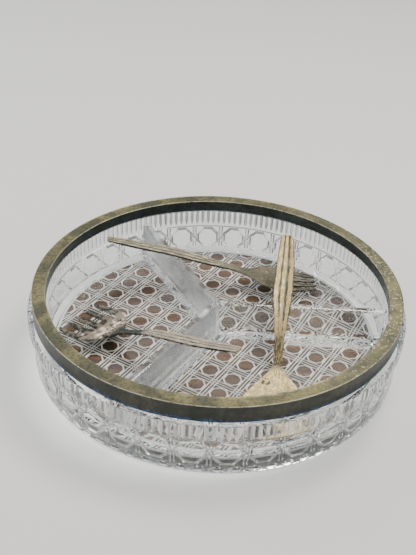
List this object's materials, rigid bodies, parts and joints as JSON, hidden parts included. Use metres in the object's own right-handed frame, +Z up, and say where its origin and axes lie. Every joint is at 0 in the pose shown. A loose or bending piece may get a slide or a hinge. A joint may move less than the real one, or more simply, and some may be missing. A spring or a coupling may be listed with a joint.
{
  "type": "lazy susan turntable",
  "caption": "Round divided glass serving tray with a metal rim that turns on a hidden ball-bearing swivel, with loose forks and a slice server.",
  "frame": {"origin": "centre of the tray's axis at the level of the rubber feet's undersides", "axes": "+Z up along the turning axis; +X along one of the three dividers, towards the right of the view the object was drawn from; +Y to the back"},
  "size_m": [0.2606, 0.2606, 0.0619],
  "materials": {
    "clear_pressed_glass": "pressed cane pattern, polished",
    "tarnished_silver_rim": "silver plate, heavily tarnished",
    "plaster_bedding": "dry plaster",
    "brown_enamelled_steel": "brown enamel, satin",
    "clear_silicone": "moulded, translucent",
    "zinc_plated_steel": "zinc plated pressing",
    "ball_steel": "polished",
    "cage_nylon": "moulded",
    "rivet_steel": "plain",
    "washer_nylon": "moulded",
    "rubber": "matt",
    "tarnished_silver_olive": "silver plate, heavily tarnished",
    "tarnished_silver_cream": "silver plate, crusted",
    "tarnished_silver_pale": "silver plate, crusted"
  },
  "bodies": {
    "base": {"swivel_lower_plate": "zinc_plated_steel", "centre_rivet": "rivet_steel", "rivet_washer": "washer_nylon", "rubber_foot_1": "rubber", "rubber_foot_2": "rubber", "rubber_foot_3": "rubber", "rubber_foot_4": "rubber"},
    "ball_ring": {"ball_cage": "cage_nylon", "bearing_ball_01": "ball_steel", "bearing_ball_02": "ball_steel", "bearing_ball_03": "ball_steel", "bearing_ball_04": "ball_steel", "bearing_ball_05": "ball_steel", "bearing_ball_06": "ball_steel", "bearing_ball_07": "ball_steel", "bearing_ball_08": "ball_steel", "bearing_ball_09": "ball_steel", "bearing_ball_10": "ball_steel", "bearing_ball_11": "ball_steel", "bearing_ball_12": "ball_steel", "bearing_ball_13": "ball_steel", "bearing_ball_14": "ball_steel", "bearing_ball_15": "ball_steel", "bearing_ball_16": "ball_steel"},
    "tray": {"glass_dish": "clear_pressed_glass", "rim_band": "tarnished_silver_rim", "rim_bedding": "plaster_bedding", "turntable_disc": "brown_enamelled_steel", "grip_ring": "clear_silicone"},
    "rear_relish_fork": {"rear_fork": "tarnished_silver_olive"},
    "wide_serving_fork": {"wide_fork": "tarnished_silver_cream"},
    "slice": {"slice_server": "tarnished_silver_pale"}
  },
  "joints": [
    {"name": "tray_turn", "type": "hinge", "parent": "base", "child": "tray", "pos_m": [0, 0, 0.00695], "axis": [0, 0, 1], "continuous": true},
    {"name": "ball_ring_turn", "type": "hinge", "parent": "base", "child": "ball_ring", "pos_m": [0, 0, 0.00695], "axis": [0, 0, 1], "continuous": true},
    {"name": "rear_fork_tip_up", "type": "hinge", "parent": "tray", "child": "rear_relish_fork", "pos_m": [0.0752, 0.066, 0.0169], "axis": [0, 1, 0], "range_deg": [0, 25]},
    {"name": "wide_fork_lift", "type": "slide", "parent": "tray", "child": "wide_serving_fork", "axis": [0, 0, 1], "range_m": [0, 0.08]},
    {"name": "slice_lift", "type": "slide", "parent": "tray", "child": "slice", "axis": [0, 0, 1], "range_m": [0, 0.08]}
  ],
  "couplings": [
    {"joint": "ball_ring_turn", "follows": "tray_turn", "ratio": 0.5}
  ]
}
